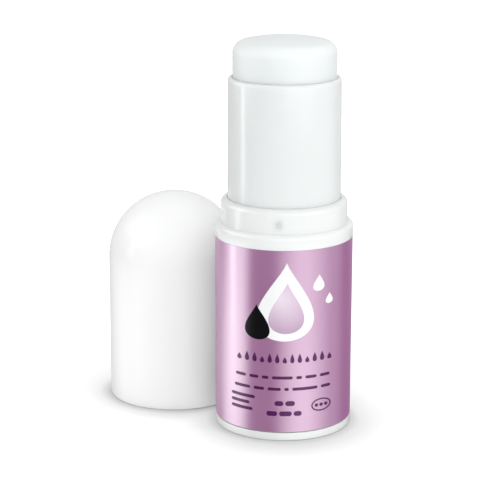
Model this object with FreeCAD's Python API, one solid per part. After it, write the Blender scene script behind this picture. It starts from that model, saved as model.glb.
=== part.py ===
import FreeCAD, Part
import math
import os

# Deodorant stick that winds up out of a round container, with its cap taken off and stood beside it.
# Millimetres, +Z up. The origin is on the stick's axis at table height, and the label faces -Y.
# The stick is modelled wound up as far as it is in use, and the base dial winds it up and down.

# Clearances between pieces
running_gap = 0.08      # radial, where one piece turns or slides in another
seat_gap = 0.05         # between pieces that are snapped together and stay still
end_gap = 0.3           # left at the end of a travel
cast_gap = 0.02         # between the cast deodorant and the cup it was poured into
thread_gap = 0.15       # all round the screw thread
overlap = 0.2           # how far a rib is rooted in the wall that carries it
cutting_over = 1.0      # how far a cut runs out past the face it opens
edge_share = 0.95       # share of an edge that the rounds at its ends may use up between them
picking_slack = 0.01    # height within which an edge counts as lying in a plane

# Base dial, the white ring at the foot
dial_proud = 0.05       # how far its rim stands outside the barrel's foot
dial_rim_height = 2.15
dial_web = 1.2
dial_foot_width = 2.3
dial_edge_round = 0.35
grip_rib_count = 12
grip_rib_width = 1.0
grip_rib_height = 0.6
hub_radius = 4.9
hub_height = 9.0
spigot_height = 6.4
spigot_wall = 1.1
spigot_lead_in = 0.3
spigot_slot_count = 4
spigot_slot_width = 1.4
spigot_slot_depth = 4.6
spigot_slot_stay = 1.0  # least height of whole ring left below a slot
web_rib_count = 6
web_rib_width = 1.0
web_rib_height = 2.4
bead_height = 0.35      # how far the snap bead stands out
bead_length = 1.2
bead_drop = 2.0         # from the spigot's top to the middle of the bead

# Barrel, the outer wall with its ledge and neck
turning_gap = 0.25      # between the dial's rim and the barrel's foot
barrel_foot_radius = 17.88
barrel_taper = 0.12     # how much wider the barrel is at the label's top
barrel_wall = 1.2
ledge_proud = 0.2       # how far the ledge stands outside the barrel
ledge_height = 55.0
ledge_band = 3.7
ledge_thickness = 1.3
ledge_round = 1.2
neck_step = 1.6         # from the ledge's radius in to the neck's
neck_height = 6.4
neck_wall = 1.25
neck_roof = 1.4
neck_round = 1.5
neck_root_fillet = 0.3
nub_count = 4
nub_height = 0.12       # how far each snap nub stands out of the neck
nub_radius = 0.6
nub_length = 1.0
nub_turn = 6.0          # degrees from the front
catch_height = 0.25     # bead inside the barrel's foot that holds the inner tube
catch_length = 0.6

# Label, a film wrapped round the barrel
label_height = 48.85
label_thickness = 0.08
label_glue = 0.02
label_butt = 0.5        # open butt joint at the back
label_margin = 0.05     # bare strip of barrel below the label

# Inner tube, whose upper end is the sleeve that shows above the neck
tube_wall = 1.62
sleeve_step = 0.43      # from the tube's radius in to the sleeve's, which bears under the neck's roof
sleeve_draft = 0.12     # how much narrower the sleeve is at its rim
sleeve_height = 31.7
sleeve_rim_round = 0.9
sleeve_rim_chamfer = 0.1
tube_lead_in = 0.4
tube_flange_thickness = 1.2
tube_flange_lift = 1.2  # from the tube's foot to the flange
gusset_count = 6
gusset_width = 1.0
gusset_height = 6.0
gusset_setback = 0.3    # from the flange's edge
guide_groove_count = 4
guide_groove_width = 2.4
guide_groove_depth = 0.6

# Deodorant, cast into the cup
stick_gap = 0.25        # between the deodorant and the tube's bore
stick_length = 37.0
stick_showing = 10.4    # above the sleeve's rim
stick_crown_radius = 55.0
stick_shoulder_round = 3.0
retracted_depth = 1.0   # below the sleeve's rim when wound right down

# Elevator cup, which carries the deodorant up and down
cup_depth = 4.0
cup_wall = 0.9
cup_floor = 1.2
cup_skirt = 3.2
cup_land = 1.2
cup_land_relief = 0.25
cup_rim_margin = 0.5    # below the sleeve's rim when wound right up
stem_radius = 4.9
stem_bore_gap = 0.4
boss_roof = 1.0
nut_length = 8.0
anchor_fin_count = 4
anchor_fin_width = 0.9
anchor_fin_height = 1.6
anchor_fin_setback = 2.2
anchor_fin_turn = 45.0  # degrees from the guide arms
guide_ring_height = 3.0
guide_ring_width = 1.2
guide_arm_width = 1.6
stem_gusset_height = 5.0
stem_gusset_setback = 0.8

# Screw spindle
thread_lead = 5.0
thread_core_radius = 2.7
thread_crest_radius = 3.5
thread_root_width = 2.3
thread_crest_width = 1.3
thread_sink = 0.4       # how deep the ridge is rooted in the core
collar_radius = 5.8
collar_thickness = 1.4
stop_radius = 4.4
stop_height = 2.5
tail_width = 4.6
tail_length = 6.4
tail_chamfer = 0.5
spindle_tip_chamfer = 0.8
thread_end_fade = 1.25  # height over which the thread runs out below the tip
spindle_spare = 1.0     # thread left above the nut at the top of its travel
tip_gap = 0.5

# Cap, standing on its mouth behind the barrel's left side
cap_bearing = 141.0     # degrees round from +X to where it stands
cap_standoff = 1.83     # between its side and the ledge
cap_wall = 1.33
cap_straight = 39.0
cap_bore_gap = 0.15     # radial, round the neck
cap_mouth_round = 0.35
cap_lead_in = 0.6
cap_rib_count = 8
cap_rib_width = 1.0
cap_rib_height = 0.12
cap_rib_length = 24.0
cap_gate_radius = 2.0
cap_gate_height = 0.4

# Heights that follow from the sizes above
barrel_foot_z = dial_rim_height + turning_gap
label_foot_z = barrel_foot_z + label_margin
label_top_z = ledge_height - ledge_band
neck_top_z = ledge_height + neck_height
sleeve_rim_z = neck_top_z + sleeve_height
tube_foot_z = barrel_foot_z + label_margin
flange_foot_z = tube_foot_z + tube_flange_lift
stick_apex_z = sleeve_rim_z + stick_showing
cup_floor_z = stick_apex_z - stick_length
cup_rim_z = cup_floor_z + cup_depth
stop_z = hub_height + collar_thickness + stop_height
travel_down = stick_showing + retracted_depth
travel_up = sleeve_rim_z - cup_rim_margin - cup_rim_z
nut_foot_z = stop_z + end_gap + travel_down
nut_top_z = nut_foot_z + nut_length
spindle_top_z = nut_top_z + travel_up + spindle_spare
boss_top_z = max(cup_floor_z, spindle_top_z + travel_down + tip_gap) + boss_roof
groove_top_z = nut_foot_z + guide_ring_height + travel_up + end_gap
spigot_top_z = dial_rim_height + spigot_height
bead_z = spigot_top_z - bead_drop

# Radii and places that follow from the sizes above, from the outside in
dial_radius = barrel_foot_radius + dial_proud
barrel_label_top_radius = barrel_foot_radius + barrel_taper
ledge_radius = barrel_label_top_radius + ledge_proud
neck_radius = ledge_radius - neck_step
neck_bore_radius = neck_radius - neck_wall
cap_bore_radius = neck_radius + cap_bore_gap
cap_radius = cap_bore_radius + cap_wall
cap_distance = ledge_radius + cap_standoff + cap_radius
cap_x = cap_distance * math.cos(math.radians(cap_bearing))
cap_y = cap_distance * math.sin(math.radians(cap_bearing))
tube_radius = neck_bore_radius - running_gap
tube_bore_radius = tube_radius - tube_wall
sleeve_root_radius = tube_radius - sleeve_step
sleeve_rim_radius = sleeve_root_radius - sleeve_draft
stick_radius = tube_bore_radius - stick_gap
slide_radius = tube_bore_radius - running_gap
cup_bore_radius = slide_radius - cup_wall
anchor_fin_reach = cup_bore_radius - anchor_fin_setback

AXIS = FreeCAD.Vector(0, 0, 1)
CENTRE = FreeCAD.Vector(0, 0, 0)


def at(radius, z):
    """Point on the half section, radius out from the axis."""
    return FreeCAD.Vector(radius, 0, z)


def section(corners):
    """Face in the half section from (radius, z) or (radius, z, round) corners, with arcs at the rounds."""
    count = len(corners)
    points = [at(corner[0], corner[1]) for corner in corners]
    half_angles = []
    wanted = []
    for index, corner in enumerate(corners):
        back = points[index - 1] - points[index]
        ahead = points[(index + 1) % count] - points[index]
        half_angles.append(back.getAngle(ahead) / 2)
        rounding = corner[2] if len(corner) > 2 else 0
        wanted.append(rounding / math.tan(half_angles[index]))
    edges = []
    ends = []
    for index, here in enumerate(points):
        if wanted[index] == 0:
            ends.append((here, here, None))
            continue
        back = points[index - 1] - here
        ahead = points[(index + 1) % count] - here
        back_share = edge_share * back.Length / (wanted[index] + wanted[index - 1])
        ahead_share = edge_share * ahead.Length / (wanted[index] + wanted[(index + 1) % count])
        reach = wanted[index] * min(1, back_share, ahead_share)
        radius = reach * math.tan(half_angles[index])
        back.normalize()
        ahead.normalize()
        inward = back + ahead
        inward.normalize()
        middle = here + inward * (radius / math.sin(half_angles[index]) - radius)
        ends.append((here + back * reach, here + ahead * reach, middle))
    for index, (entry, leave, middle) in enumerate(ends):
        if middle is not None:
            edges.append(Part.Arc(entry, middle, leave).toShape())
        following = ends[(index + 1) % count][0]
        if not following.isEqual(leave, 1e-6):
            edges.append(Part.LineSegment(leave, following).toShape())
    return Part.Face(Part.Wire(edges))


def turned(corners, angle=360):
    """Solid of revolution about the stick's axis."""
    return section(corners).revolve(CENTRE, AXIS, angle)


def block(x_from, x_to, width, z_from, z_to):
    """Box that runs outwards along +X, centred on the X axis."""
    base = FreeCAD.Vector(x_from, -width / 2, z_from)
    return Part.makeBox(x_to - x_from, width, z_to - z_from, base)


def around(shape, count, first_angle=0):
    """Copies of a shape spaced evenly about the axis."""
    copies = []
    for index in range(count):
        copy = shape.copy()
        copy.rotate(CENTRE, AXIS, first_angle + 360 * index / count)
        copies.append(copy)
    return copies


def gusset(x_from, x_to, width, z_foot, z_top):
    """Triangular web, widest at its foot, that leans on a wall at x_from."""
    wire = Part.makePolygon([at(x_from, z_foot), at(x_to, z_foot), at(x_from, z_top), at(x_from, z_foot)])
    web = Part.Face(wire).extrude(FreeCAD.Vector(0, width, 0))
    web.translate(FreeCAD.Vector(0, -width / 2, 0))
    return web


# Screw thread

def thread_ridge(foot_z, top_z, gap):
    """Left-hand helical ridge that covers foot_z to top_z, grown by gap all round.

    Every ridge starts a whole number of turns from the stop, so a nut and a spindle stay in step.
    """
    turns_below = math.ceil((stop_z - foot_z) / thread_lead) + 1
    start_z = stop_z - turns_below * thread_lead
    height = top_z + thread_lead - start_z
    helix = Part.makeLongHelix(thread_lead, height, thread_core_radius, 0, True)
    helix.translate(FreeCAD.Vector(0, 0, start_z))
    root = thread_root_width / 2 + gap
    crest = thread_crest_width / 2 + gap
    inner = thread_core_radius - thread_sink
    outer = thread_crest_radius + gap
    profile = Part.makePolygon([
        at(inner, start_z - root),
        at(thread_core_radius, start_z - root),
        at(outer, start_z - crest),
        at(outer, start_z + crest),
        at(thread_core_radius, start_z + root),
        at(inner, start_z + root),
        at(inner, start_z - root),
    ])
    return Part.Wire(helix.Edges).makePipeShell([profile], True, True)


def make_screw_spindle():
    """Threaded rod with a square tail for the dial and a collar that the nut comes down to."""
    tip = spindle_tip_chamfer
    core = turned([
        (0, hub_height),
        (collar_radius, hub_height),
        (collar_radius, hub_height + collar_thickness),
        (stop_radius, hub_height + collar_thickness),
        (stop_radius, stop_z),
        (thread_core_radius, stop_z),
        (thread_core_radius, spindle_top_z - tip),
        (thread_core_radius - tip, spindle_top_z),
        (0, spindle_top_z),
    ])
    envelope = turned([
        (0, stop_z - end_gap),
        (thread_crest_radius, stop_z - end_gap),
        (thread_crest_radius, spindle_top_z - tip - thread_end_fade),
        (thread_core_radius, spindle_top_z - tip),
        (0, spindle_top_z - tip),
    ])
    ridge = thread_ridge(stop_z, spindle_top_z, 0).common(envelope)
    tail_foot_z = hub_height - tail_length
    tail_corner = FreeCAD.Vector(-tail_width / 2, -tail_width / 2, tail_foot_z)
    tail = Part.makeBox(tail_width, tail_width, tail_length, tail_corner)
    foot_edges = [edge for edge in tail.Edges if edge.BoundBox.ZMax < tail_foot_z + picking_slack]
    tail = tail.makeChamfer(tail_chamfer, foot_edges)
    return core.fuse([ridge, tail]).removeSplitter()


# Base dial

def make_base_dial():
    """Foot of the container: rim, hub with a square socket, and a slotted ring that snaps into the tube."""
    recess = dial_rim_height - dial_web
    foot_inner = dial_radius - dial_foot_width
    bead = slide_radius + bead_height
    body = turned([
        (0, 0),
        (hub_radius, 0),
        (hub_radius, recess),
        (foot_inner, recess),
        (foot_inner, 0),
        (dial_radius, 0, dial_edge_round),
        (dial_radius, dial_rim_height),
        (slide_radius, dial_rim_height),
        (slide_radius, bead_z - bead_length / 2),
        (bead, bead_z),
        (slide_radius, bead_z + bead_length / 2),
        (slide_radius, spigot_top_z - spigot_lead_in),
        (slide_radius - spigot_lead_in, spigot_top_z),
        (slide_radius - spigot_wall, spigot_top_z),
        (slide_radius - spigot_wall, dial_rim_height),
        (hub_radius, dial_rim_height),
        (hub_radius, hub_height),
        (0, hub_height),
    ])
    web_rib = block(hub_radius - overlap, slide_radius - spigot_wall / 2, web_rib_width,
                    dial_rim_height - overlap, dial_rim_height + web_rib_height)
    slot_floor = spigot_top_z - min(spigot_slot_depth, spigot_height - spigot_slot_stay)
    slot = block(slide_radius - 2 * spigot_wall, slide_radius + 2 * bead_height, spigot_slot_width,
                 slot_floor, spigot_top_z + cutting_over)
    grip_rib = block(hub_radius - overlap, foot_inner + overlap, grip_rib_width,
                     recess - grip_rib_height, recess + overlap)
    socket_half = tail_width / 2 + seat_gap
    socket_foot = hub_height - tail_length - end_gap
    socket = Part.makeBox(2 * socket_half, 2 * socket_half, hub_height,
                          FreeCAD.Vector(-socket_half, -socket_half, socket_foot))
    slot_turn = 180 / web_rib_count
    body = body.fuse(around(web_rib, web_rib_count) + around(grip_rib, grip_rib_count))
    body = body.cut(around(slot, spigot_slot_count, slot_turn) + [socket])
    return body.removeSplitter()


# Barrel and label

def barrel_radius_at(z):
    """Radius of the barrel under the label, which tapers a little towards the foot."""
    share = (z - barrel_foot_z) / (label_top_z - barrel_foot_z)
    return barrel_foot_radius + share * (barrel_label_top_radius - barrel_foot_radius)


def make_barrel():
    """Outer wall with its ledge and neck, open at the foot and holed at the top for the sleeve."""
    hole = sleeve_root_radius + running_gap
    roof_z = neck_top_z - neck_roof
    ledge_under_z = ledge_height - ledge_thickness
    inner_top = barrel_label_top_radius - barrel_wall
    inner_foot = barrel_foot_radius - barrel_wall
    catch_z = flange_foot_z - seat_gap
    body = turned([
        (hole, roof_z),
        (neck_bore_radius, roof_z),
        (neck_bore_radius, ledge_under_z),
        (inner_top, ledge_under_z),
        (inner_foot, catch_z),
        (inner_foot - catch_height, catch_z),
        (inner_foot - catch_height, catch_z - catch_length / 2),
        (inner_foot, catch_z - catch_length),
        (inner_foot, barrel_foot_z),
        (barrel_foot_radius, barrel_foot_z),
        (barrel_label_top_radius, label_top_z),
        (barrel_label_top_radius + label_glue + label_thickness, label_top_z),
        (ledge_radius, ledge_height, ledge_round),
        (neck_radius, ledge_height, neck_root_fillet),
        (neck_radius, neck_top_z, neck_round),
        (hole, neck_top_z),
    ])
    nub_x = neck_radius + nub_height - nub_radius
    nub_z = ledge_height + (neck_height - neck_round + neck_root_fillet) / 2
    nub = Part.makeCylinder(nub_radius, nub_length, at(nub_x, nub_z - nub_length / 2), AXIS)
    for end_z in (nub_z - nub_length / 2, nub_z + nub_length / 2):
        nub = nub.fuse(Part.makeSphere(nub_radius, at(nub_x, end_z)))
    return body.fuse(around(nub, nub_count, 270 - nub_turn)).removeSplitter()


def make_label():
    """Wrapped film with an open butt joint at the back."""
    top_z = min(label_foot_z + label_height, label_top_z - label_margin)
    inner_foot = barrel_radius_at(label_foot_z) + label_glue
    inner_top = barrel_radius_at(top_z) + label_glue
    open_angle = math.degrees(label_butt / barrel_foot_radius)
    film = turned([
        (inner_foot, label_foot_z),
        (inner_foot + label_thickness, label_foot_z),
        (inner_top + label_thickness, top_z),
        (inner_top, top_z),
    ], 360 - open_angle)
    film.rotate(CENTRE, AXIS, 90 + open_angle / 2)
    return film


# Inner tube

def make_inner_tube():
    """Tube that guides the elevator; its upper end is the sleeve round the deodorant."""
    step_z = neck_top_z - neck_roof - seat_gap
    flange_radius = barrel_foot_radius - barrel_wall - seat_gap
    flange_top_z = flange_foot_z + tube_flange_thickness
    pocket = slide_radius + bead_height + running_gap
    pocket_half = bead_length / 2 + thread_gap
    body = turned([
        (tube_bore_radius + tube_lead_in, tube_foot_z),
        (tube_radius, tube_foot_z),
        (tube_radius, flange_foot_z),
        (flange_radius, flange_foot_z),
        (flange_radius, flange_top_z),
        (tube_radius, flange_top_z),
        (tube_radius, step_z),
        (sleeve_root_radius, step_z),
        (sleeve_root_radius, neck_top_z),
        (sleeve_rim_radius, sleeve_rim_z, sleeve_rim_round),
        (tube_bore_radius + sleeve_rim_chamfer, sleeve_rim_z),
        (tube_bore_radius, sleeve_rim_z - sleeve_rim_chamfer),
        (tube_bore_radius, bead_z + pocket_half),
        (pocket, bead_z + pocket_half / 2),
        (pocket, bead_z - pocket_half / 2),
        (tube_bore_radius, bead_z - pocket_half),
        (tube_bore_radius, tube_foot_z + tube_lead_in),
    ])
    web = gusset(tube_radius - overlap, flange_radius - gusset_setback, gusset_width,
                 flange_top_z - overlap, flange_top_z + gusset_height)
    groove = block(tube_bore_radius - cutting_over, tube_bore_radius + guide_groove_depth, guide_groove_width,
                   tube_foot_z - cutting_over, groove_top_z)
    body = body.fuse(around(web, gusset_count))
    return body.cut(around(groove, guide_groove_count)).removeSplitter()


# Elevator cup and deodorant

def anchor_fins(gap):
    """Fins on the cup's floor that stop the deodorant turning, grown by gap for their slots."""
    fin = block(stem_radius - overlap, anchor_fin_reach + gap, anchor_fin_width + 2 * gap,
                cup_floor_z - overlap, cup_floor_z + anchor_fin_height + gap)
    return around(fin, anchor_fin_count, anchor_fin_turn)


def make_elevator_cup():
    """Cup, closed boss, nut and keyed guide ring in one moulding."""
    floor_under_z = cup_floor_z - cup_floor
    skirt_z = floor_under_z - cup_skirt
    relief = slide_radius - cup_land_relief
    nut_bore = thread_core_radius + thread_gap
    stem_bore = thread_crest_radius + stem_bore_gap
    body = turned([
        (0, boss_top_z),
        (stem_radius, boss_top_z),
        (stem_radius, cup_floor_z),
        (cup_bore_radius, cup_floor_z),
        (cup_bore_radius, cup_rim_z),
        (slide_radius, cup_rim_z),
        (slide_radius, cup_rim_z - cup_land),
        (relief, cup_rim_z - cup_land - cup_land_relief),
        (relief, skirt_z + cup_land + cup_land_relief),
        (slide_radius, skirt_z + cup_land),
        (slide_radius, skirt_z),
        (cup_bore_radius, skirt_z),
        (cup_bore_radius, floor_under_z),
        (stem_radius, floor_under_z),
        (stem_radius, nut_foot_z),
        (nut_bore, nut_foot_z),
        (nut_bore, nut_top_z),
        (stem_bore, nut_top_z + stem_bore - nut_bore),
        (stem_bore, boss_top_z - boss_roof),
        (0, boss_top_z - boss_roof),
    ])
    ring_top_z = nut_foot_z + guide_ring_height
    ring = turned([
        (slide_radius - guide_ring_width, nut_foot_z),
        (slide_radius, nut_foot_z),
        (slide_radius, ring_top_z),
        (slide_radius - guide_ring_width, ring_top_z),
    ])
    arm = block(stem_radius - overlap, slide_radius - guide_ring_width / 2, guide_arm_width,
                nut_foot_z, ring_top_z)
    key = block(slide_radius - guide_ring_width / 2, tube_bore_radius + guide_groove_depth - thread_gap,
                guide_groove_width - 2 * thread_gap, nut_foot_z, ring_top_z)
    stay = gusset(stem_radius - overlap, cup_bore_radius - stem_gusset_setback, guide_arm_width,
                  floor_under_z + overlap, floor_under_z - stem_gusset_height)
    body = body.fuse([ring] + around(arm, guide_groove_count) + around(key, guide_groove_count)
                     + around(stay, guide_groove_count) + anchor_fins(0))
    return body.cut(thread_ridge(nut_foot_z, nut_top_z, thread_gap)).removeSplitter()


def make_crown(foot_z):
    """Top of the stick above foot_z: a flat dome whose edge is rounded into the side."""
    dome_z = stick_apex_z - stick_crown_radius
    shoulder_x = stick_radius - stick_shoulder_round
    shoulder_z = dome_z + math.sqrt((stick_crown_radius - stick_shoulder_round) ** 2 - shoulder_x ** 2)
    tilt = math.atan2(shoulder_z - dome_z, shoulder_x)

    def on_shoulder(angle):
        """Point on the rounded edge at an angle above the horizontal."""
        return at(shoulder_x + stick_shoulder_round * math.cos(angle),
                  shoulder_z + stick_shoulder_round * math.sin(angle))

    def on_dome(angle):
        """Point on the dome at an angle above the horizontal."""
        return at(stick_crown_radius * math.cos(angle), dome_z + stick_crown_radius * math.sin(angle))

    edges = [
        Part.LineSegment(at(0, stick_apex_z), at(0, foot_z)).toShape(),
        Part.LineSegment(at(0, foot_z), at(stick_radius, foot_z)).toShape(),
        Part.LineSegment(at(stick_radius, foot_z), at(stick_radius, shoulder_z)).toShape(),
        Part.Arc(at(stick_radius, shoulder_z), on_shoulder(tilt / 2), on_shoulder(tilt)).toShape(),
        Part.Arc(on_dome(tilt), on_dome((tilt + math.pi / 2) / 2), at(0, stick_apex_z)).toShape(),
    ]
    return Part.Face(Part.Wire(edges)).revolve(CENTRE, AXIS, 360)


def make_deodorant_stick():
    """Cast stick with a rounded crown, hollowed where the cup's boss and fins stand in it."""
    g = cast_gap
    crown_foot_z = (boss_top_z + stick_apex_z - stick_shoulder_round) / 2
    shank = turned([
        (0, boss_top_z + g),
        (stem_radius + g, boss_top_z + g),
        (stem_radius + g, cup_floor_z + g),
        (cup_bore_radius - g, cup_floor_z + g),
        (cup_bore_radius - g, cup_rim_z + g),
        (stick_radius, cup_rim_z + g),
        (stick_radius, crown_foot_z),
        (0, crown_foot_z),
    ])
    return shank.fuse(make_crown(crown_foot_z)).cut(anchor_fins(g)).removeSplitter()


# Cap

def domed(radius, foot_z):
    """Cylinder from foot_z to the cap's straight height, closed by a half sphere."""
    barrel = Part.makeCylinder(radius, cap_straight - foot_z, at(0, foot_z), AXIS)
    return barrel.fuse(Part.makeSphere(radius, at(0, cap_straight))).removeSplitter()


def make_cap():
    """Domed cap with a thin wall, a lead-in at its mouth and fine ribs that grip the neck."""
    shell = domed(cap_radius, 0)
    mouth = [edge for edge in shell.Edges if edge.BoundBox.ZMax < picking_slack]
    shell = shell.makeFillet(cap_mouth_round, mouth)
    lead_in = Part.makeCone(cap_bore_radius + cap_lead_in, cap_bore_radius, cap_lead_in, CENTRE, AXIS)
    shell = shell.cut([domed(cap_bore_radius, -cutting_over), lead_in])
    rib = block(cap_bore_radius - cap_rib_height, cap_bore_radius + overlap, cap_rib_width,
                2 * cap_lead_in, 2 * cap_lead_in + cap_rib_length)
    roof_z = cap_straight + cap_bore_radius
    gate_foot = at(0, roof_z - cap_gate_height)
    gate = Part.makeCylinder(cap_gate_radius, cap_gate_height + overlap, gate_foot, AXIS)
    cap = shell.fuse(around(rib, cap_rib_count) + [gate]).removeSplitter()
    cap.translate(FreeCAD.Vector(cap_x, cap_y, 0))
    return cap


pieces = {
    "base_dial": make_base_dial(),
    "screw_spindle": make_screw_spindle(),
    "barrel": make_barrel(),
    "label": make_label(),
    "inner_tube": make_inner_tube(),
    "elevator_cup": make_elevator_cup(),
    "deodorant_stick": make_deodorant_stick(),
    "cap": make_cap(),
}

os.makedirs("parts", exist_ok=True)
for name, shape in pieces.items():
    shape.exportStep("parts/" + name + ".step")
    state = "valid" if shape.isValid() else "NOT VALID"
    print(name, state, len(shape.Solids), "solid", round(shape.Volume, 1))
print("wound down", round(travel_down, 3), "wound up", round(travel_up, 3), "mm, lead", thread_lead)
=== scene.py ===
import math

import bpy
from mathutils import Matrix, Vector


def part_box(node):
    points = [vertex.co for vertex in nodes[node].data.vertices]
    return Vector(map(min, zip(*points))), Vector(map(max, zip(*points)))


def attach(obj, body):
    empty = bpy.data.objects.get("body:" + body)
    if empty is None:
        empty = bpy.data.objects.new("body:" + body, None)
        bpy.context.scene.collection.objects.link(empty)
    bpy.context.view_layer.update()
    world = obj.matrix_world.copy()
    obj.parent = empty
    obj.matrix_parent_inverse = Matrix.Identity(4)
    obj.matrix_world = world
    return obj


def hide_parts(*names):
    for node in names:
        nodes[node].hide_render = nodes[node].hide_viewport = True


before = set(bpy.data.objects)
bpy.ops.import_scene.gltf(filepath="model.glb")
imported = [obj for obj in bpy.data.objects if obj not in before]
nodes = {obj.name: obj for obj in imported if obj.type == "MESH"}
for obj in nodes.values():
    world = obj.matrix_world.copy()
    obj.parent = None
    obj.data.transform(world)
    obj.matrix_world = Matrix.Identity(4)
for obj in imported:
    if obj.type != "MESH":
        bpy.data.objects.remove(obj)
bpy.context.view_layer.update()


# Foot dial.
# A white polypropylene moulding, the thin ring that shows under the label. It snaps up into the
# inner tube and stays free to turn, and its underside has grip ribs between the rim and the hub.
mm = 0.001
turning_steps = 192
round_segments = 6
corner_reach = 0.01 * mm
merge_reach = 0.001 * mm
crisp_angle = math.radians(35)
back_of_stick = math.radians(90)


def draw_section(name, stations, facing):
    """Starts a mesh with one filled outline, drawn point by point from (radius, height) stations in the
    upright plane through the axis that faces that way. It is left in edit mode with all selected."""
    across = (math.cos(facing), math.sin(facing))
    first_radius, first_height = stations[0][:2]
    bpy.ops.object.select_all(action="DESELECT")
    bpy.ops.mesh.primitive_plane_add(
        size=mm, location=(first_radius * across[0], first_radius * across[1], first_height)
    )
    piece = bpy.context.object
    piece.name = name
    piece.data.name = name
    bpy.ops.object.transform_apply(location=True)
    bpy.ops.object.mode_set(mode="EDIT")
    bpy.ops.mesh.select_all(action="SELECT")
    bpy.ops.mesh.merge(type="CENTER")
    for back, here in zip(stations, stations[1:]):
        outwards = here[0] - back[0]
        step = (outwards * across[0], outwards * across[1], here[1] - back[1])
        bpy.ops.mesh.extrude_vertices_move(TRANSFORM_OT_translate={"value": step})
    bpy.ops.mesh.select_all(action="SELECT")
    bpy.ops.mesh.edge_face_add()
    return piece


def select_points(piece, chosen):
    """Selects the vertices of a mesh in edit mode whose place passes the test."""
    bpy.ops.mesh.select_mode(type="VERT")
    bpy.ops.mesh.select_all(action="DESELECT")
    bpy.ops.object.mode_set(mode="OBJECT")
    for point in piece.data.vertices:
        point.select = bool(chosen(point.co))
    bpy.ops.object.mode_set(mode="EDIT")


def round_corners(piece, stations, facing):
    """Rounds the corners of a drawn section that have a radius as their third number."""
    for index, here in enumerate(stations):
        if len(here) < 3:
            continue
        back = stations[index - 1]
        ahead = stations[(index + 1) % len(stations)]
        turn_in = math.atan2(back[1] - here[1], back[0] - here[0])
        turn_out = math.atan2(ahead[1] - here[1], ahead[0] - here[0])
        corner = abs((turn_in - turn_out + math.pi) % (2 * math.pi) - math.pi)
        place = (here[0] * math.cos(facing), here[0] * math.sin(facing), here[1])
        select_points(piece, lambda co: max(abs(a - b) for a, b in zip(co, place)) < corner_reach)
        bpy.ops.mesh.bevel(
            affect="VERTICES", offset_type="OFFSET", offset=here[2] / math.tan(corner / 2),
            segments=round_segments,
        )


def finish_piece(piece):
    """Closes the mesh that is being edited, turns its faces outwards and shades it smooth, with crisp
    edges where faces meet at a sharper angle."""
    bpy.ops.mesh.select_all(action="SELECT")
    bpy.ops.mesh.remove_doubles(threshold=merge_reach)
    bpy.ops.mesh.delete_loose(use_verts=True, use_edges=True, use_faces=False)
    bpy.ops.mesh.select_all(action="SELECT")
    bpy.ops.mesh.normals_make_consistent(inside=False)
    bpy.ops.object.mode_set(mode="OBJECT")
    bpy.ops.object.select_all(action="DESELECT")
    piece.select_set(True)
    bpy.context.view_layer.objects.active = piece
    bpy.ops.object.shade_smooth_by_angle(angle=crisp_angle)
    return piece


def turn_piece(name, stations, facing=back_of_stick, sweep=2 * math.pi):
    """A turned piece: the section, with its rounds, spun about the stick's axis."""
    piece = draw_section(name, stations, facing)
    round_corners(piece, stations, facing)
    bpy.ops.mesh.select_all(action="SELECT")
    if sweep == 2 * math.pi:
        bpy.ops.mesh.delete(type="ONLY_FACE")
        bpy.ops.mesh.select_all(action="SELECT")
    bpy.ops.mesh.spin(
        steps=turning_steps, angle=sweep, center=(0, 0, 0), axis=(0, 0, 1), use_auto_merge=True
    )
    return finish_piece(piece)


def new_group(name, inputs, outputs):
    """Empty shader node group with named float or colour sockets, and its two end nodes."""
    group = bpy.data.node_groups.new(name, "ShaderNodeTree")
    for socket, kind, value in inputs:
        made = group.interface.new_socket(socket, in_out="INPUT", socket_type=kind)
        made.default_value = value
    for socket, kind in outputs:
        group.interface.new_socket(socket, in_out="OUTPUT", socket_type=kind)
    return group, group.nodes.new("NodeGroupInput"), group.nodes.new("NodeGroupOutput")


def join_sockets(tree, pairs):
    """Links pairs of sockets, each from an output to an input."""
    for start, end in pairs:
        tree.links.new(start, end)


gloss_drift = 0.03

moulded, group_in, group_out = new_group(
    "moulded_surface",
    [("Tint", "NodeSocketColor", (0.8, 0.8, 0.8, 1)), ("Shade", "NodeSocketColor", (0.7, 0.7, 0.7, 1)),
     ("Roughness", "NodeSocketFloat", 0.3), ("Flow Scale", "NodeSocketFloat", 60)],
    [("Color", "NodeSocketColor"), ("Roughness", "NodeSocketFloat"), ("Height", "NodeSocketFloat")],
)
surface_place = moulded.nodes.new("ShaderNodeTexCoord")
flow = moulded.nodes.new("ShaderNodeTexNoise")
flow.inputs["Detail"].default_value = 2
grain = moulded.nodes.new("ShaderNodeTexNoise")
grain.inputs["Scale"].default_value = 2500
grain.inputs["Detail"].default_value = 3
blend = moulded.nodes.new("ShaderNodeMix")
blend.data_type = "RGBA"
gloss = moulded.nodes.new("ShaderNodeMapRange")
gloss.inputs["To Min"].default_value = -gloss_drift
gloss.inputs["To Max"].default_value = gloss_drift
add_gloss = moulded.nodes.new("ShaderNodeMath")
join_sockets(moulded, [
    (surface_place.outputs["Object"], flow.inputs["Vector"]),
    (group_in.outputs["Flow Scale"], flow.inputs["Scale"]),
    (surface_place.outputs["Object"], grain.inputs["Vector"]),
    (flow.outputs["Fac"], blend.inputs["Factor"]),
    (group_in.outputs["Shade"], blend.inputs["A"]),
    (group_in.outputs["Tint"], blend.inputs["B"]),
    (flow.outputs["Fac"], gloss.inputs["Value"]),
    (gloss.outputs["Result"], add_gloss.inputs[0]),
    (group_in.outputs["Roughness"], add_gloss.inputs[1]),
    (blend.outputs["Result"], group_out.inputs["Color"]),
    (add_gloss.outputs["Value"], group_out.inputs["Roughness"]),
    (grain.outputs["Fac"], group_out.inputs["Height"]),
])


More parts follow.
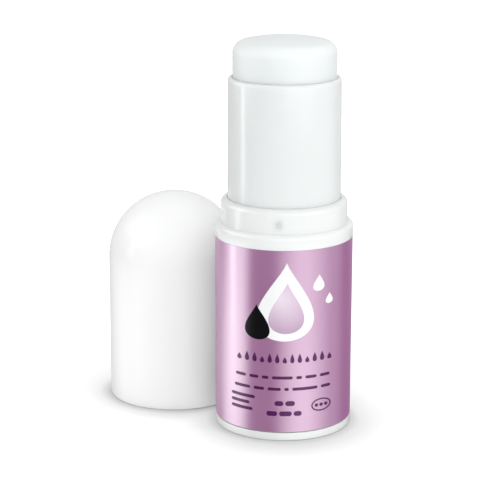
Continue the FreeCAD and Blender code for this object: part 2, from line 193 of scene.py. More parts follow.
def new_material(name, **sockets):
    """Material with a plain Principled shader, whose uniform values are set on its own sockets."""
    material = bpy.data.materials.new(name)
    material.use_nodes = True
    shader = material.node_tree.nodes["Principled BSDF"]
    for socket, value in sockets.items():
        shader.inputs[socket.replace("_", " ").title().replace("Ior", "IOR")].default_value = value
    return material, material.node_tree, shader


def moulded_material(name, tint, shade, roughness, bump, flow_scale=60, **sockets):
    """Moulded plastic or cast wax: a faint flow of tone, a little uneven gloss and a fine grain."""
    material, tree, shader = new_material(name, **sockets)
    surface = tree.nodes.new("ShaderNodeGroup")
    surface.node_tree = moulded
    surface.inputs["Tint"].default_value = (*tint, 1)
    surface.inputs["Shade"].default_value = (*shade, 1)
    surface.inputs["Roughness"].default_value = roughness
    surface.inputs["Flow Scale"].default_value = flow_scale
    grain_bump = tree.nodes.new("ShaderNodeBump")
    grain_bump.inputs["Strength"].default_value = bump
    grain_bump.inputs["Distance"].default_value = 0.02 * mm
    join_sockets(tree, [
        (surface.outputs["Color"], shader.inputs["Base Color"]),
        (surface.outputs["Roughness"], shader.inputs["Roughness"]),
        (surface.outputs["Height"], grain_bump.inputs["Height"]),
        (grain_bump.outputs["Normal"], shader.inputs["Normal"]),
    ])
    return material


def dress(piece, material):
    """Gives a piece one material, in every slot that it has."""
    if piece.data.materials:
        for slot in range(len(piece.data.materials)):
            piece.data.materials[slot] = material
    else:
        piece.data.materials.append(material)


body_plastic = moulded_material(
    "polished_white_polypropylene", tint=(0.87, 0.885, 0.88), shade=(0.85, 0.868, 0.862), roughness=0.2,
    bump=0.12, subsurface_weight=0.25, subsurface_scale=1.5 * mm, subsurface_radius=(1, 0.9, 0.85),
)

dial_radius = 17.93 * mm
dial_rim_height = 2.15 * mm
dial_web = 1.2 * mm
dial_foot_width = 2.3 * mm
dial_edge_round = 0.35 * mm
grip_rib_count = 12
grip_rib_width = 1.0 * mm
grip_rib_height = 0.6 * mm
hub_radius = 4.9 * mm
spigot_radius = 13.57 * mm
spigot_wall = 1.1 * mm
spigot_top = 8.55 * mm
rib_root = 0.2 * mm

foot_dial = turn_piece("foot_dial", [
    (0, 0),
    (hub_radius, 0),
    (hub_radius, dial_rim_height - dial_web),
    (dial_radius - dial_foot_width, dial_rim_height - dial_web),
    (dial_radius - dial_foot_width, 0),
    (dial_radius, 0, dial_edge_round),
    (dial_radius, dial_rim_height),
    (spigot_radius, dial_rim_height),
    (spigot_radius, spigot_top),
    (spigot_radius - spigot_wall, spigot_top),
    (spigot_radius - spigot_wall, dial_rim_height),
    (0, dial_rim_height),
])


def ring_of_copies(first, count):
    """Copies a piece at even turns about the stick's axis, each copy with its own mesh."""
    made = [first]
    for number in range(1, count):
        bpy.ops.object.select_all(action="DESELECT")
        first.select_set(True)
        bpy.context.view_layer.objects.active = first
        bpy.ops.object.duplicate(linked=False)
        copy = bpy.context.object
        bpy.ops.object.mode_set(mode="EDIT")
        bpy.ops.mesh.select_all(action="SELECT")
        bpy.ops.transform.rotate(
            value=2 * math.pi * number / count, orient_axis="Z", center_override=(0, 0, 0)
        )
        bpy.ops.object.mode_set(mode="OBJECT")
        made.append(copy)
    return made


def join_to(main, parts):
    """Joins small parts to the piece that they are moulded on."""
    bpy.ops.object.select_all(action="DESELECT")
    for part in parts:
        part.select_set(True)
    main.select_set(True)
    bpy.context.view_layer.objects.active = main
    bpy.ops.object.join()


rib_edge_share = 0.15


def moulded_rib(name, inner, outer, width, foot, top):
    """A straight rib that runs outwards, with its edges eased by a share of its thinnest side."""
    bpy.ops.object.select_all(action="DESELECT")
    bpy.ops.mesh.primitive_cube_add(size=1, location=((inner + outer) / 2, 0, (foot + top) / 2))
    rib = bpy.context.object
    rib.name = name
    rib.scale = (outer - inner, width, top - foot)
    bpy.ops.object.transform_apply(location=True, rotation=True, scale=True)
    bpy.ops.object.mode_set(mode="EDIT")
    bpy.ops.mesh.select_all(action="SELECT")
    thinnest = min(width, top - foot, outer - inner)
    bpy.ops.mesh.bevel(offset=thinnest * rib_edge_share, segments=2)
    return finish_piece(rib)


dial_recess = dial_rim_height - dial_web
grip_rib = moulded_rib(
    "grip_rib", hub_radius - rib_root, dial_radius - dial_foot_width + rib_root, grip_rib_width,
    dial_recess - grip_rib_height, dial_recess + rib_root,
)
join_to(foot_dial, ring_of_copies(grip_rib, grip_rib_count))
dress(foot_dial, body_plastic)
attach(foot_dial, "dial")
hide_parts("base_dial")


# Screw spindle and elevator cup.
# Two plain mouldings inside the container: a left-hand screw fixed in the dial, and the cup with its
# nut that the deodorant is cast into. They are left as they come out of the tool.
inner_plastic = moulded_material(
    "plain_moulded_plastic", tint=(0.85, 0.86, 0.85), shade=(0.81, 0.82, 0.81), roughness=0.45, bump=0.2,
)
for name in ("screw_spindle", "elevator_cup"):
    dress(nodes[name], inner_plastic)


# Barrel.
# The white polypropylene outer wall, moulded in one with the rounded ledge that the cap stops on and
# the plain neck that the cap pushes over. Four small snap nubs stand on the neck.
barrel_low, barrel_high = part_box("barrel")
neck_top = barrel_high.z
barrel_foot = barrel_low.z
ledge_radius = 18.2 * mm
ledge_height = 55.0 * mm
ledge_band = 3.7 * mm
ledge_thickness = 1.3 * mm
ledge_round = 1.2 * mm
neck_radius = 16.6 * mm
neck_round = 1.5 * mm
neck_root_fillet = 0.3 * mm
neck_wall = 1.25 * mm
neck_roof = 1.4 * mm
barrel_wall = 1.2 * mm
barrel_foot_radius = 17.88 * mm
barrel_top_radius = 18.0 * mm
sleeve_hole = 14.92 * mm
nub_count = 4
nub_radius = 1.8 * mm
nub_stand = 0.08 * mm
nub_length = 1.2 * mm
nub_root = 0.5 * mm
nub_turn = math.radians(6)
front_of_stick = math.radians(270)
ledge_lip_round = 0.05 * mm
film_stand = 0.1 * mm

outer_wall = turn_piece("barrel_shell", [
    (sleeve_hole, neck_top - neck_roof),
    (neck_radius - neck_wall, neck_top - neck_roof),
    (neck_radius - neck_wall, ledge_height - ledge_thickness),
    (barrel_top_radius - barrel_wall, ledge_height - ledge_thickness),
    (barrel_foot_radius - barrel_wall, barrel_foot),
    (barrel_foot_radius, barrel_foot),
    (barrel_top_radius, ledge_height - ledge_band),
    (barrel_top_radius + film_stand, ledge_height - ledge_band, ledge_lip_round),
    (ledge_radius, ledge_height, ledge_round),
    (neck_radius, ledge_height, neck_root_fillet),
    (neck_radius, neck_top, neck_round),
    (sleeve_hole, neck_top),
])

neck_middle = ledge_height + (neck_top - ledge_height - neck_round + neck_root_fillet) / 2
nub_out = neck_radius + nub_stand - nub_radius
nub_facing = front_of_stick - nub_turn
nub_across = (math.cos(nub_facing), math.sin(nub_facing), 0)
nub_cut = neck_radius - nub_root
bpy.ops.object.select_all(action="DESELECT")
bpy.ops.mesh.primitive_uv_sphere_add(
    segments=24, ring_count=16, radius=nub_radius,
    location=(nub_out * nub_across[0], nub_out * nub_across[1], neck_middle),
)
nub = bpy.context.object
nub.name = "neck_nub"
nub.scale = (1, 1, 1 + nub_length / (2 * nub_radius))
bpy.ops.object.transform_apply(location=True, rotation=True, scale=True)
bpy.ops.object.mode_set(mode="EDIT")
bpy.ops.mesh.select_all(action="SELECT")
# The nub ends inside the neck's wall, clear of the tube's bore.
bpy.ops.mesh.bisect(
    plane_co=(nub_cut * nub_across[0], nub_cut * nub_across[1], neck_middle),
    plane_no=nub_across, use_fill=True, clear_inner=True,
)
finish_piece(nub)
join_to(outer_wall, ring_of_copies(nub, nub_count))
dress(outer_wall, body_plastic)
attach(outer_wall, "container")
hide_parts("barrel")


# Label.
# A thin metallised film in lilac, wrapped round the barrel under the ledge with its two ends butted
# at the back. Its satin face mirrors the cards that stand round it in soft upright bands.
label_low, label_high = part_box("label")
label_thickness = 0.08 * mm
label_foot = label_low.z
label_top = label_high.z
label_butt = 0.5 * mm
label_foot_radius = 17.98 * mm
label_top_radius = 18.1 * mm
open_angle = label_butt / label_foot_radius

film_wrap = turn_piece("label_film", [
    (label_foot_radius - label_thickness, label_foot),
    (label_foot_radius, label_foot),
    (label_top_radius, label_top),
    (label_top_radius - label_thickness, label_top),
], facing=back_of_stick + open_angle / 2, sweep=2 * math.pi - open_angle)

label_lilac, label_tree, label_shader = new_material(
    "metallised_lilac_film", metallic=0.0, ior=4.0, anisotropic=0.9, anisotropic_rotation=0.25,
)
film_place = label_tree.nodes.new("ShaderNodeTexCoord")
film_cloud = label_tree.nodes.new("ShaderNodeTexNoise")
film_cloud.inputs["Scale"].default_value = 35
film_cloud.inputs["Detail"].default_value = 2
film_tone = label_tree.nodes.new("ShaderNodeValToRGB")
film_tone.color_ramp.elements[0].position = 0.3
film_tone.color_ramp.elements[0].color = (0.40, 0.105, 0.335, 1)
film_tone.color_ramp.elements[1].position = 0.7
film_tone.color_ramp.elements[1].color = (0.43, 0.121, 0.362, 1)
# Bounced light meets a grey here, so that the film throws next to no lilac on the cap and the table.
film_ray = label_tree.nodes.new("ShaderNodeLightPath")
film_bounce = label_tree.nodes.new("ShaderNodeMix")
film_bounce.data_type = "RGBA"
film_bounce.inputs["B"].default_value = (0.22, 0.20, 0.215, 1)
film_gloss = label_tree.nodes.new("ShaderNodeMapRange")
film_gloss.inputs["To Min"].default_value = 0.36
film_gloss.inputs["To Max"].default_value = 0.40
join_sockets(label_tree, [
    (film_place.outputs["Object"], film_cloud.inputs["Vector"]),
    (film_cloud.outputs["Fac"], film_tone.inputs["Fac"]),
    (film_cloud.outputs["Fac"], film_gloss.inputs["Value"]),
    (film_ray.outputs["Is Diffuse Ray"], film_bounce.inputs["Factor"]),
    (film_tone.outputs["Color"], film_bounce.inputs["A"]),
    (film_bounce.outputs["Result"], label_shader.inputs["Base Color"]),
    (film_gloss.outputs["Result"], label_shader.inputs["Roughness"]),
])
dress(film_wrap, label_lilac)
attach(film_wrap, "container")
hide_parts("label")


# Label print.
# Generic print in white, lilac, black and violet ink: a large drop with a shaded one in it, small drops
# round it, and rows of plain marks below. Each ink is a thin film of its own on the label's face.
print_plane = -25 * mm
upright = math.radians(90)
print_offset = 0.03 * mm
ink_thickness = 0.02 * mm
cut_spacing = 0.8 * mm
cut_reach = 15.5 * mm
drop_points = 56
drop_fullness = 0.62
drop_taper = 1.6
bar_end_share = 0.48
bar_gap = 0.9 * mm
bar_depth = 0.8 * mm
row_drop_count = 13
row_drop_pitch = 1.95 * mm
side_bar_top = 11.6 * mm
side_bar_pitch = 1.7 * mm
ink_roughness = 0.24
pale_spot = (-1.5 * mm, -18 * mm, 38.5 * mm)
pale_reach = 11 * mm


def outline_mark(points):
    """Flat filled mark in front of the label, drawn point by point from (x, height) points."""
    bpy.ops.object.select_all(action="DESELECT")
    bpy.ops.mesh.primitive_plane_add(size=mm, location=(points[0][0], print_plane, points[0][1]))
    mark = bpy.context.object
    bpy.ops.object.transform_apply(location=True)
    bpy.ops.object.mode_set(mode="EDIT")
    bpy.ops.mesh.select_all(action="SELECT")
    bpy.ops.mesh.merge(type="CENTER")
    for back, here in zip(points, points[1:]):
        step = (here[0] - back[0], 0, here[1] - back[1])
        bpy.ops.mesh.extrude_vertices_move(TRANSFORM_OT_translate={"value": step})
    bpy.ops.mesh.select_all(action="SELECT")
    bpy.ops.mesh.edge_face_add()
    bpy.ops.object.mode_set(mode="OBJECT")
    return mark


def drop_mark(x, foot, width, height, lean=0.0):
    """A drop that stands on its round end, with its tip up and a little to one side."""
    points = []
    for step in range(drop_points):
        turn = 2 * math.pi * step / drop_points
        rise = 1 - (1 - math.cos(turn)) / 2
        out = -math.sin(turn) * math.sin(turn / 2) ** drop_taper
        points.append((x + out * width * drop_fullness + lean * rise * height, foot + height * rise))
    return outline_mark(points)


def rounded_bar(x, z, length, depth):
    """A bar with round ends, its left end at x and its middle at z."""
    bpy.ops.object.select_all(action="DESELECT")
    bpy.ops.mesh.primitive_plane_add(
        size=1, location=(x + length / 2, print_plane, z), rotation=(upright, 0, 0)
    )
    bar = bpy.context.object
    bar.scale = (length, depth, 1)
    bpy.ops.object.transform_apply(location=True, rotation=True, scale=True)
    bpy.ops.object.mode_set(mode="EDIT")
    bpy.ops.mesh.select_all(action="SELECT")
    bpy.ops.mesh.bevel(
        affect="VERTICES", offset_type="OFFSET", offset=depth * bar_end_share, segments=4
    )
    bpy.ops.object.mode_set(mode="OBJECT")
    return bar


def bar_row(x, z, lengths, space, depth):
    """A row of rounded bars of the given lengths."""
    bars = []
    for length in lengths:
        bars.append(rounded_bar(x, z, length, depth))
        x += length + space
    return bars


def oval_ring(x, z, width, height, line):
    """An open oval drawn with a line of even width."""
    bpy.ops.object.select_all(action="DESELECT")
    bpy.ops.mesh.primitive_circle_add(
        vertices=48, radius=0.5, fill_type="NGON", location=(x, print_plane, z), rotation=(upright, 0, 0)
    )
    ring = bpy.context.object
    ring.scale = (width, height, 1)
    bpy.ops.object.transform_apply(location=True, rotation=True, scale=True)
    bpy.ops.object.mode_set(mode="EDIT")
    bpy.ops.mesh.select_all(action="SELECT")
    bpy.ops.mesh.inset(thickness=line)
    bpy.ops.mesh.delete(type="FACE")
    bpy.ops.object.mode_set(mode="OBJECT")
    return ring


def print_on_label(name, marks, ink, layer):
    """Joins marks of one ink, cuts them into upright strips so that they bend, and wraps them round
    the film at the height of their layer."""
    bpy.ops.object.select_all(action="DESELECT")
    for mark in marks:
        mark.select_set(True)
    inked = marks[0]
    bpy.context.view_layer.objects.active = inked
    if len(marks) > 1:
        bpy.ops.object.join()
    inked.name = name
    inked.data.name = name
    bpy.ops.object.mode_set(mode="EDIT")
    cut = -cut_reach
    while cut < cut_reach:
        bpy.ops.mesh.select_all(action="SELECT")
        bpy.ops.mesh.bisect(plane_co=(cut, 0, 0), plane_no=(1, 0, 0))
        cut += cut_spacing
    bpy.ops.object.mode_set(mode="OBJECT")
    wrap = inked.modifiers.new("wrap", "SHRINKWRAP")
    wrap.target = film_wrap
    wrap.wrap_method = "PROJECT"
    wrap.use_project_y = True
    wrap.use_positive_direction = True
    wrap.offset = print_offset * layer
    bpy.ops.object.modifier_apply(modifier="wrap")
    body = inked.modifiers.new("body", "SOLIDIFY")
    body.thickness = ink_thickness
    body.offset = 1
    bpy.ops.object.modifier_apply(modifier="body")
    bpy.ops.object.shade_smooth_by_angle(angle=crisp_angle)
    dress(inked, ink)
    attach(inked, "container")


def plain_ink(name, dark, light, ior):
    """Glossy ink whose depth of colour drifts a little over the print."""
    material, tree, shader = new_material(name, ior=ior, roughness=ink_roughness)
    where = tree.nodes.new("ShaderNodeTexCoord")
    drift = tree.nodes.new("ShaderNodeTexNoise")
    drift.inputs["Scale"].default_value = 120
    tone = tree.nodes.new("ShaderNodeMix")
    tone.data_type = "RGBA"
    tone.inputs["A"].default_value = (*dark, 1)
    tone.inputs["B"].default_value = (*light, 1)
    join_sockets(tree, [
        (where.outputs["Object"], drift.inputs["Vector"]),
        (drift.outputs["Fac"], tone.inputs["Factor"]),
        (tone.outputs["Result"], shader.inputs["Base Color"]),
    ])
    return material


white_ink = plain_ink("white_ink", (0.90, 0.90, 0.92), (0.94, 0.94, 0.95), ior=1.7)
black_ink = plain_ink("black_ink", (0.002, 0.002, 0.003), (0.003, 0.003, 0.005), ior=1.3)
violet_ink = plain_ink("violet_ink", (0.075, 0.005, 0.078), (0.09, 0.007, 0.094), ior=1.4)

lilac_ink, lilac_tree, lilac_shader = new_material(
    "shaded_lilac_ink", ior=1.7, roughness=ink_roughness,
)
lilac_place = lilac_tree.nodes.new("ShaderNodeTexCoord")
lilac_centre = lilac_tree.nodes.new("ShaderNodeMapping")
lilac_centre.inputs["Location"].default_value = [-along for along in pale_spot]
lilac_round = lilac_tree.nodes.new("ShaderNodeVectorMath")
lilac_round.operation = "LENGTH"
lilac_shade = lilac_tree.nodes.new("ShaderNodeValToRGB")
lilac_reach = lilac_tree.nodes.new("ShaderNodeMath")
lilac_reach.operation = "DIVIDE"
lilac_reach.inputs[1].default_value = pale_reach
lilac_shade.color_ramp.elements[0].color = (0.83, 0.72, 0.83, 1)
lilac_shade.color_ramp.elements[1].color = (0.42, 0.24, 0.40, 1)
join_sockets(lilac_tree, [
    (lilac_place.outputs["Object"], lilac_centre.inputs["Vector"]),
    (lilac_centre.outputs["Vector"], lilac_round.inputs[0]),
    (lilac_round.outputs["Value"], lilac_reach.inputs[0]),
    (lilac_reach.outputs["Value"], lilac_shade.inputs["Fac"]),
    (lilac_shade.outputs["Color"], lilac_shader.inputs["Base Color"]),
])

print_on_label("print_white_drops", [
    drop_mark(x=-0.2 * mm, foot=27.2 * mm, width=17.5 * mm, height=21 * mm, lean=0.03),
    drop_mark(x=8.6 * mm, foot=40.2 * mm, width=3.4 * mm, height=4.4 * mm, lean=0.05),
    drop_mark(x=11.4 * mm, foot=36.4 * mm, width=2.2 * mm, height=2.9 * mm, lean=0.05),
], white_ink, layer=1)
print_on_label("print_lilac_drop", [
    drop_mark(x=0.2 * mm, foot=29.2 * mm, width=10.8 * mm, height=13.6 * mm, lean=0.03),
], lilac_ink, layer=2)
print_on_label("print_black_drop", [
    drop_mark(x=-7.0 * mm, foot=27.4 * mm, width=7.4 * mm, height=9.4 * mm, lean=-0.04),
], black_ink, layer=3)

violet_marks = []
for number in range(row_drop_count):
    violet_marks.append(drop_mark(
        x=(number - row_drop_count // 2) * row_drop_pitch, foot=21.3 * mm, width=1.3 * mm,
        height=2.6 * mm if number % 3 else 1.7 * mm,
    ))
violet_marks += bar_row(
    x=-12.6 * mm, z=17.3 * mm, space=bar_gap, depth=bar_depth,
    lengths=[2.6 * mm, 2.3 * mm, 1.7 * mm, 5.4 * mm, 1.5 * mm, 2.9 * mm, 2.6 * mm],
)
violet_marks += bar_row(
    x=-12.9 * mm, z=14.2 * mm, space=bar_gap, depth=bar_depth,
    lengths=[4.0 * mm, 2.7 * mm, 3.4 * mm, 1.2 * mm, 6.6 * mm, 2.5 * mm],
)
for row, length in enumerate([6.0 * mm, 4.6 * mm, 5.4 * mm]):
    violet_marks.append(rounded_bar(
        x=-13.7 * mm, z=side_bar_top - side_bar_pitch * row, length=length, depth=0.85 * mm
    ))
violet_marks += bar_row(
    x=-2.6 * mm, z=10.3 * mm, space=0.5 * mm, depth=1.3 * mm, lengths=[2.3 * mm, 2.5 * mm],
)
violet_marks += bar_row(
    x=-4.7 * mm, z=7.5 * mm, space=0.5 * mm, depth=1.3 * mm, lengths=[2.8 * mm, 3.3 * mm, 2.1 * mm],
)
violet_marks.append(oval_ring(x=9.6 * mm, z=9.2 * mm, width=5.2 * mm, height=3.5 * mm, line=0.35 * mm))
violet_marks += bar_row(
    x=7.9 * mm, z=9.2 * mm, space=0.35 * mm, depth=0.9 * mm, lengths=[0.9 * mm] * 3,
)
print_on_label("print_violet_marks", violet_marks, violet_ink, layer=1)


# Inner tube.
# The white sleeve that the deodorant slides in. Its upper end stands out of the neck with a rounded
# rim, and its lower end runs down inside the barrel and is held at the foot.
tube_low, tube_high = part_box("inner_tube")
tube_foot = tube_low.z
sleeve_rim = tube_high.z
tube_bore = 13.65 * mm
tube_radius = 15.27 * mm
sleeve_root_radius = 14.84 * mm
sleeve_rim_radius = 14.72 * mm
sleeve_rim_round = 0.9 * mm
sleeve_bore_chamfer = 0.1 * mm
step_clearance = 0.05 * mm
step_height = neck_top - neck_roof - step_clearance
flange_radius = 16.63 * mm
flange_foot = 3.65 * mm
flange_thickness = 1.2 * mm

sleeve_plastic = moulded_material(
    "polished_sleeve_plastic", tint=(0.85, 0.875, 0.867), shade=(0.83, 0.857, 0.848), roughness=0.2,
    bump=0.12, subsurface_weight=0.6, subsurface_scale=2 * mm, subsurface_radius=(1, 0.95, 0.9),
)
sleeve = turn_piece("inner_tube_sleeve", [
    (tube_bore, tube_foot),
    (tube_radius, tube_foot),
    (tube_radius, flange_foot),
    (flange_radius, flange_foot),
    (flange_radius, flange_foot + flange_thickness),
    (tube_radius, flange_foot + flange_thickness),
    (tube_radius, step_height),
    (sleeve_root_radius, step_height),
    (sleeve_root_radius, neck_top),
    (sleeve_rim_radius, sleeve_rim, sleeve_rim_round),
    (tube_bore + sleeve_bore_chamfer, sleeve_rim),
    (tube_bore, sleeve_rim - sleeve_bore_chamfer),
])
dress(sleeve, sleeve_plastic)
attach(sleeve, "container")
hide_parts("inner_tube")


# Deodorant.
# A smooth waxy solid, poured into its cup from below against a domed former, so that its crown is a
# flat dome with a rounded shoulder. It is softer in shine than the plastic round it.
stick_low, stick_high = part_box("deodorant_stick")
stick_radius = 13.55 * mm
stick_foot = stick_low.z
stick_apex = stick_high.z
crown_radius = 55.0 * mm
crown_steps = 10
shoulder_round = 3.0 * mm
shoulder_steps = 12
cup_rim = 70.52 * mm
cup_bore = 12.65 * mm
boss_radius = 4.92 * mm
boss_top = 68.62 * mm

dome_centre = stick_apex - crown_radius
shoulder_out = stick_radius - shoulder_round
shoulder_up = dome_centre + math.sqrt((crown_radius - shoulder_round) ** 2 - shoulder_out ** 2)
shoulder_tilt = math.atan2(shoulder_up - dome_centre, shoulder_out)


def arc_stations(centre_out, centre_up, radius, start, end, count):
    """Stations along an arc of the half section."""
    angles = [start + (end - start) * step / count for step in range(count + 1)]
    return [(centre_out + radius * math.cos(a), centre_up + radius * math.sin(a)) for a in angles]


cast_stick = turn_piece("cast_deodorant", [
    (0, boss_top),
    (boss_radius, boss_top),
    (boss_radius, stick_foot),
    (cup_bore, stick_foot),
    (cup_bore, cup_rim),
    (stick_radius, cup_rim),
    *arc_stations(shoulder_out, shoulder_up, shoulder_round, 0, shoulder_tilt, shoulder_steps),
    *arc_stations(0, dome_centre, crown_radius, shoulder_tilt, math.pi / 2, crown_steps)[1:],
])
wax = moulded_material(
    "smooth_waxy_deodorant", tint=(0.83, 0.86, 0.86), shade=(0.805, 0.838, 0.838), roughness=0.45,
    bump=0.35, flow_scale=90,
    subsurface_weight=0.8, subsurface_scale=3 * mm, subsurface_radius=(1, 0.95, 0.9),
)
dress(cast_stick, wax)
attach(cast_stick, "carriage")
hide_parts("deodorant_stick")


# Cap.
# An opaque white moulding with a high gloss and a domed top, pulled off and stood on its mouth. Its
# bore is plain, with a small lead-in, fine grip ribs and the stump of the gate under the roof.
cap_low, cap_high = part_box("cap")
cap_x = (cap_high.x + cap_low.x) / 2
cap_y = (cap_high.y + cap_low.y) / 2
cap_radius = 18.08 * mm
cap_dome_steps = 32
cap_straight = 39.0 * mm
cap_bore = 16.75 * mm
cap_roof_steps = 24
cap_lead_in = 0.6 * mm
cap_mouth_round = 0.35 * mm
cap_rib_count = 8
cap_rib_width = 1.0 * mm
cap_rib_stand = 0.12 * mm
cap_rib_length = 24.0 * mm
cap_rib_foot = 1.2 * mm
cap_gate_radius = 2.0 * mm
cap_gate_height = 0.4 * mm
cap_gate_round = 0.1 * mm

cap_shell = turn_piece("domed_cap", [
    (cap_bore + cap_lead_in, 0),
    (cap_radius, 0, cap_mouth_round),
    *arc_stations(0, cap_straight, cap_radius, 0, math.pi / 2, cap_dome_steps),
    *arc_stations(0, cap_straight, cap_bore, math.pi / 2, 0, cap_roof_steps),
    (cap_bore, cap_lead_in),
])
cap_plastic = moulded_material(
    "high_gloss_cap_plastic", tint=(0.98, 0.98, 0.98), shade=(0.965, 0.965, 0.967), roughness=0.2,
    bump=0.06, specular_ior_level=0.15,
    subsurface_weight=0.1, subsurface_scale=1 * mm, subsurface_radius=(1, 0.9, 0.85),
)

cap_rib = moulded_rib(
    "cap_rib", cap_bore - cap_rib_stand, cap_bore + rib_root, cap_rib_width, cap_rib_foot,
    cap_rib_foot + cap_rib_length,
)
gate_foot = cap_straight + cap_bore - cap_gate_height
gate_stump = turn_piece("gate_stump", [
    (0, gate_foot),
    (cap_gate_radius, gate_foot, cap_gate_round),
    (cap_gate_radius, gate_foot + cap_gate_height + rib_root),
    (0, gate_foot + cap_gate_height + rib_root),
])
join_to(cap_shell, [*ring_of_copies(cap_rib, cap_rib_count), gate_stump])
bpy.ops.object.mode_set(mode="EDIT")
bpy.ops.mesh.select_all(action="SELECT")
bpy.ops.transform.translate(value=(cap_x, cap_y, 0))
bpy.ops.object.mode_set(mode="OBJECT")
dress(cap_shell, cap_plastic)
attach(cap_shell, "container")
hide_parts("cap")


# Table, reflector cards, lamps and camera.
# A white table under soft studio light, with a painted contact shadow round the feet and a painted glow
# that grows away from them. The bands in the gloss come from eight cards that only reflections see:
# three on the left, two in front on the right, one on the right and two behind.
table_width = 6
painted_shadow_reach = 3.5 * mm
painted_shadow_tone = 0.48
open_tone = 0.92
painted_glow_start = 18 * mm
painted_glow_end = 60 * mm
painted_glow_level = 0.50

bpy.ops.object.select_all(action="DESELECT")
bpy.ops.mesh.primitive_plane_add(size=table_width, location=(0, 1, 0))
table = bpy.context.object
bpy.ops.object.transform_apply(location=True)
table.name = "white_table"
table_white = bpy.data.materials.new("white_table")
table_white.use_nodes = True
table_tree = table_white.node_tree
table_tree.nodes.remove(table_tree.nodes["Principled BSDF"])
table_out = table_tree.nodes["Material Output"]
table_matt = table_tree.nodes.new("ShaderNodeBsdfDiffuse")
# Painted contact shadow: the table's colour darkens where something stands close above it.
painted_contact_shadow = table_tree.nodes.new("ShaderNodeAmbientOcclusion")
painted_contact_shadow.samples = 8
painted_contact_shadow.inputs["Distance"].default_value = painted_shadow_reach
table_tone = table_tree.nodes.new("ShaderNodeMapRange")
table_tone.inputs["To Min"].default_value = painted_shadow_tone
table_tone.inputs["To Max"].default_value = open_tone
# Painted glow and painted shadow: away from the stick's and the cap's feet the camera alone sees the
# table lifted towards white, so the table stays darker round the feet.
table_place = table_tree.nodes.new("ShaderNodeTexCoord")
from_stick = table_tree.nodes.new("ShaderNodeVectorMath")
from_stick.operation = "DISTANCE"
from_cap = table_tree.nodes.new("ShaderNodeVectorMath")
from_cap.operation = "DISTANCE"
from_cap.inputs[1].default_value = (cap_x, cap_y, 0)
from_nearest = table_tree.nodes.new("ShaderNodeMath")
from_nearest.operation = "MINIMUM"
table_level = table_tree.nodes.new("ShaderNodeMapRange")
table_level.inputs["From Min"].default_value = painted_glow_start
table_level.inputs["From Max"].default_value = painted_glow_end
table_level.inputs["To Max"].default_value = painted_glow_level
table_painted_glow = table_tree.nodes.new("ShaderNodeEmission")
table_seen = table_tree.nodes.new("ShaderNodeAddShader")
# Reflections pass through the table to the cards.
table_clear = table_tree.nodes.new("ShaderNodeBsdfTransparent")
table_ray = table_tree.nodes.new("ShaderNodeLightPath")
camera_mix = table_tree.nodes.new("ShaderNodeMixShader")
glossy_mix = table_tree.nodes.new("ShaderNodeMixShader")
join_sockets(table_tree, [
    (painted_contact_shadow.outputs["AO"], table_tone.inputs["Value"]),
    (table_tone.outputs["Result"], table_matt.inputs["Color"]),
    (table_place.outputs["Object"], from_stick.inputs[0]),
    (table_place.outputs["Object"], from_cap.inputs[0]),
    (from_stick.outputs["Value"], from_nearest.inputs[0]),
    (from_cap.outputs["Value"], from_nearest.inputs[1]),
    (from_nearest.outputs["Value"], table_level.inputs["Value"]),
    (table_level.outputs["Result"], table_painted_glow.inputs["Strength"]),
    (table_matt.outputs["BSDF"], table_seen.inputs[0]),
    (table_painted_glow.outputs["Emission"], table_seen.inputs[1]),
    (table_ray.outputs["Is Camera Ray"], camera_mix.inputs["Fac"]),
    (table_matt.outputs["BSDF"], camera_mix.inputs[1]),
    (table_seen.outputs["Shader"], camera_mix.inputs[2]),
    (table_ray.outputs["Is Glossy Ray"], glossy_mix.inputs["Fac"]),
    (camera_mix.outputs["Shader"], glossy_mix.inputs[1]),
    (table_clear.outputs["BSDF"], glossy_mix.inputs[2]),
    (glossy_mix.outputs["Shader"], table_out.inputs["Surface"]),
])
table.data.materials.append(table_white)


def reflector(name, middle, turn_degrees, width, height, strength, soft_sides, soft_ends):
    """Upright card that only reflections see, brightest in its middle. It fades out towards its left
    and right sides and its foot and top over the given shares of its size."""
    bpy.ops.object.select_all(action="DESELECT")
    bpy.ops.mesh.primitive_plane_add(
        size=1, location=middle, rotation=(upright, 0, math.radians(turn_degrees))
    )
    card = bpy.context.object
    card.name = name
    card.scale = (width, height, 1)
    card.visible_camera = False
    card.visible_diffuse = False
    card.visible_transmission = False
    card.visible_volume_scatter = False
    card.visible_shadow = False
    glow = bpy.data.materials.new(name)
    glow.use_nodes = True
    tree = glow.node_tree
    tree.nodes.remove(tree.nodes["Principled BSDF"])
    light = tree.nodes.new("ShaderNodeEmission")
    spot = tree.nodes.new("ShaderNodeTexCoord")
    split = tree.nodes.new("ShaderNodeSeparateXYZ")
    tree.links.new(spot.outputs["UV"], split.inputs["Vector"])
    level = tree.nodes.new("ShaderNodeMath")
    level.operation = "MULTIPLY"
    for number, (direction, soft) in enumerate([("X", soft_sides), ("Y", soft_ends)]):
        ramp = tree.nodes.new("ShaderNodeValToRGB")
        ramp.color_ramp.interpolation = "EASE"
        stops = ramp.color_ramp.elements
        stops[0].color = (0, 0, 0, 1)
        stops[1].color = (0, 0, 0, 1)
        for where in (soft[0], 1 - soft[1]):
            stop = stops.new(where)
            stop.color = (1, 1, 1, 1)
        tree.links.new(split.outputs[direction], ramp.inputs["Fac"])
        tree.links.new(ramp.outputs["Color"], level.inputs[number])
    brighten = tree.nodes.new("ShaderNodeMath")
    brighten.operation = "MULTIPLY"
    brighten.inputs[1].default_value = strength
    clear = tree.nodes.new("ShaderNodeBsdfTransparent")
    both = tree.nodes.new("ShaderNodeAddShader")
    join_sockets(tree, [
        (level.outputs["Value"], brighten.inputs[0]),
        (brighten.outputs["Value"], light.inputs["Strength"]),
        (light.outputs["Emission"], both.inputs[0]),
        (clear.outputs["BSDF"], both.inputs[1]),
        (both.outputs["Shader"], tree.nodes["Material Output"].inputs["Surface"]),
    ])
    glow.cycles.emission_sampling = "NONE"
    card.data.materials.append(glow)


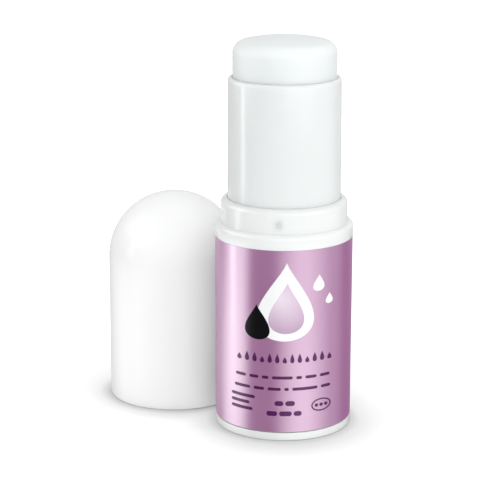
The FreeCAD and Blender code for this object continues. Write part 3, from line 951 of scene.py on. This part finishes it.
reflector(
    "left_card_low", middle=(-0.138, 0.007, -0.030), turn_degrees=90, width=0.230, height=0.108,
    strength=3.3, soft_sides=(0.33, 0.48), soft_ends=(0.6, 0.2),
)
reflector(
    "left_card_high", middle=(-0.138, 0.006, 0.134), turn_degrees=90, width=0.225, height=0.132,
    strength=3.4, soft_sides=(0.33, 0.45), soft_ends=(0.25, 0.3),
)
reflector(
    "left_core", middle=(-0.137, -0.004, 0.056), turn_degrees=90, width=0.030, height=0.072,
    strength=4.6, soft_sides=(0.3, 0.3), soft_ends=(0.35, 0.2),
)
reflector(
    "right_card_low", middle=(0.13, -0.20, -0.153), turn_degrees=212, width=0.60, height=0.294,
    strength=2.2, soft_sides=(0.5, 0.5), soft_ends=(0.2, 0.1),
)
reflector(
    "right_card_high", middle=(0.13, -0.20, 0.132), turn_degrees=212, width=0.60, height=0.140,
    strength=2.2, soft_sides=(0.5, 0.5), soft_ends=(0.1, 0.3),
)
reflector(
    "side_card", middle=(0.28, -0.02, 0), turn_degrees=270, width=0.34, height=0.60,
    strength=0.4, soft_sides=(0.4, 0.4), soft_ends=(0.2, 0.2),
)
reflector(
    "back_card_high", middle=(-0.01, 0.35, 0.145), turn_degrees=0, width=0.90, height=0.41,
    strength=0.4, soft_sides=(0.2, 0.2), soft_ends=(0.08, 0.3),
)
reflector(
    "back_card_low", middle=(-0.225, 0.35, -0.1885), turn_degrees=0, width=0.47, height=0.323,
    strength=0.4, soft_sides=(0.3, 0.1), soft_ends=(0.1, 0.1),
)

middle_of_object = Vector((-0.012, 0.005, 0.045))
lamp_size = 0.5


def lamp(name, place, power):
    """Large soft lamp that lights the object but isn't seen in its gloss."""
    data = bpy.data.lights.new(name, "AREA")
    data.size = lamp_size
    data.energy = power
    made = bpy.data.objects.new(name, data)
    bpy.context.scene.collection.objects.link(made)
    made.location = place
    made.rotation_euler = (Vector(place) - middle_of_object).to_track_quat("Z", "Y").to_euler()
    made.visible_glossy = False
    made.visible_camera = False


lamp("key_right", place=(0.80, -0.50, 0.45), power=2.7)
lamp("fill_front", place=(-0.20, -1.10, 0.45), power=3.05)
lamp("fill_left", place=(-0.80, -0.40, 0.30), power=0.35)
lamp("top_soft", place=(0, 0.20, 2.0), power=10.6)

level_for_light = 0.59
level_in_gloss = 0.2
level_for_camera = 1.0

studio = bpy.data.worlds.new("studio")
bpy.context.scene.world = studio
studio.use_nodes = True
studio_tree = studio.node_tree
studio_light = studio_tree.nodes["Background"]
studio_light.inputs["Color"].default_value = (1, 1, 1, 1)
studio_ray = studio_tree.nodes.new("ShaderNodeLightPath")
glossy_level = studio_tree.nodes.new("ShaderNodeMapRange")
glossy_level.inputs["To Min"].default_value = level_for_light
glossy_level.inputs["To Max"].default_value = level_in_gloss
studio_level = studio_tree.nodes.new("ShaderNodeMapRange")
studio_level.inputs["To Max"].default_value = level_for_camera
join_sockets(studio_tree, [
    (studio_ray.outputs["Is Glossy Ray"], glossy_level.inputs["Value"]),
    (studio_ray.outputs["Is Camera Ray"], studio_level.inputs["Value"]),
    (glossy_level.outputs["Result"], studio_level.inputs["To Min"]),
    (studio_level.outputs["Result"], studio_light.inputs["Strength"]),
])

camera_tilt = math.radians(75.39)
camera_data = bpy.data.cameras.new("camera")
camera_data.sensor_width = 36
camera_data.lens = 145.9
camera = bpy.data.objects.new("camera", camera_data)
bpy.context.scene.collection.objects.link(camera)
camera.location = (-0.01155, -0.4956, 0.17867)
camera.rotation_euler = (camera_tilt, 0, 0)
bpy.context.scene.camera = camera
bpy.context.scene.view_settings.view_transform = "Standard"
